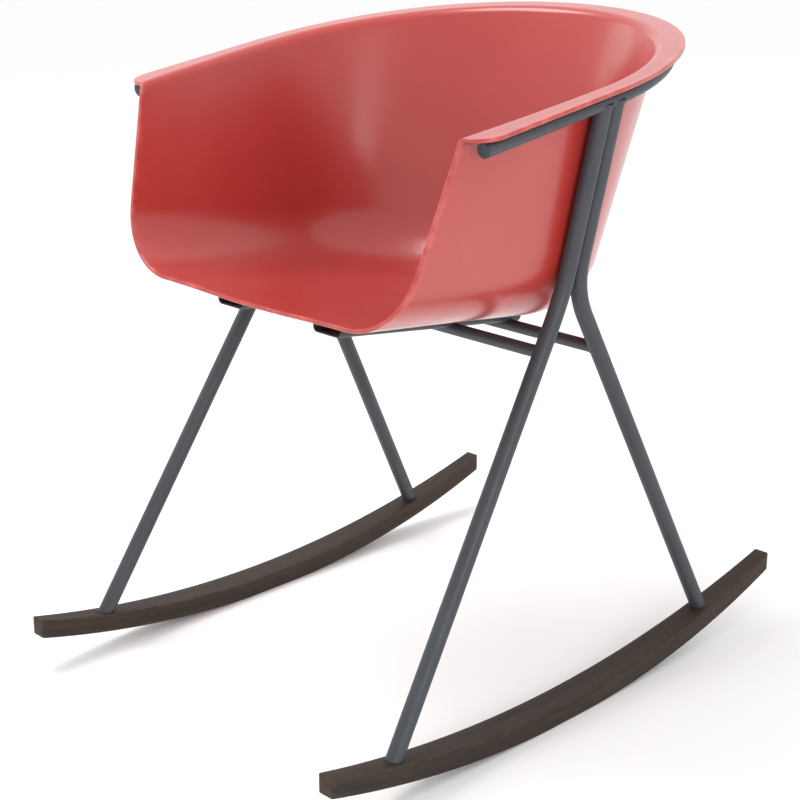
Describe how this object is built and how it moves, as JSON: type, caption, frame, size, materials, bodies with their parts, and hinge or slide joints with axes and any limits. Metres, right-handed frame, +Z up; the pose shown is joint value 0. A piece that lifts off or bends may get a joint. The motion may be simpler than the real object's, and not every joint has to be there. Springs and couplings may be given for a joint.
{
  "type": "rocking chair",
  "caption": "tub rocking chair with a moulded shell seat hung from a bent steel tube frame on curved wood runners",
  "frame": {"origin": "on the floor, midway between the two runners and midway between their front and rear ends", "axes": "+Z up, the sitter faces -Y, +X is the sitter's left"},
  "size_m": [0.5766, 0.7656, 0.7601],
  "materials": {
    "shell": "satin moulded, fine even texture",
    "frame": "fine powder coat, satin",
    "runner": "dark stained, open grain, matt oil",
    "fixing": "zinc plated",
    "insert": "turned",
    "plug": "moulded, matt"
  },
  "bodies": {
    "root": {"seat_shell": "shell", "arm_tube": "frame", "front_cross_tube": "frame", "rear_cross_tube": "frame", "seat_rail_left": "frame", "runner_left": "runner", "arm_tube_plug_left": "plug", "front_leg_left": "frame", "leg_bush_front_left": "fixing", "runner_bolt_front_left": "fixing", "seat_screw_front_left": "fixing", "seat_insert_front_left": "insert", "rear_leg_left": "frame", "leg_bush_rear_left": "fixing", "runner_bolt_rear_left": "fixing", "seat_screw_rear_left": "fixing", "seat_insert_rear_left": "insert", "seat_rail_right": "frame", "runner_right": "runner", "arm_tube_plug_right": "plug", "front_leg_right": "frame", "leg_bush_front_right": "fixing", "runner_bolt_front_right": "fixing", "seat_screw_front_right": "fixing", "seat_insert_front_right": "insert", "rear_leg_right": "frame", "leg_bush_rear_right": "fixing", "runner_bolt_rear_right": "fixing", "seat_screw_rear_right": "fixing", "seat_insert_rear_right": "insert"}
  },
  "joints": []
}
